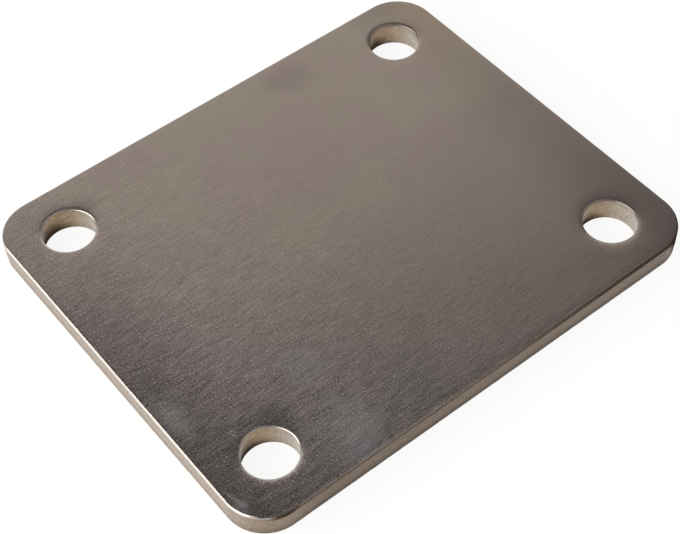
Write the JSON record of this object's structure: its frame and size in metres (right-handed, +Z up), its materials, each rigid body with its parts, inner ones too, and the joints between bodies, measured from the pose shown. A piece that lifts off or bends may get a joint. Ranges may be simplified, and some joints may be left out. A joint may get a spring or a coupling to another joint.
{
  "type": "rectangular cover plate",
  "caption": "Flat rectangular steel cover plate with rounded corners and a plain punched fixing hole in each corner.",
  "frame": {"origin": "middle of the underside", "axes": "+X along the long side, +Y along the short side, +Z up through the thickness, out of the top face whose edges roll over"},
  "size_m": [0.06, 0.05, 0.0032],
  "materials": {
    "plated_steel": "satin nickel-plated sheet steel with a fine rolled grain, brighter along the rolled edges"
  },
  "bodies": {
    "root": {"cover_plate": "plated_steel"}
  },
  "joints": []
}
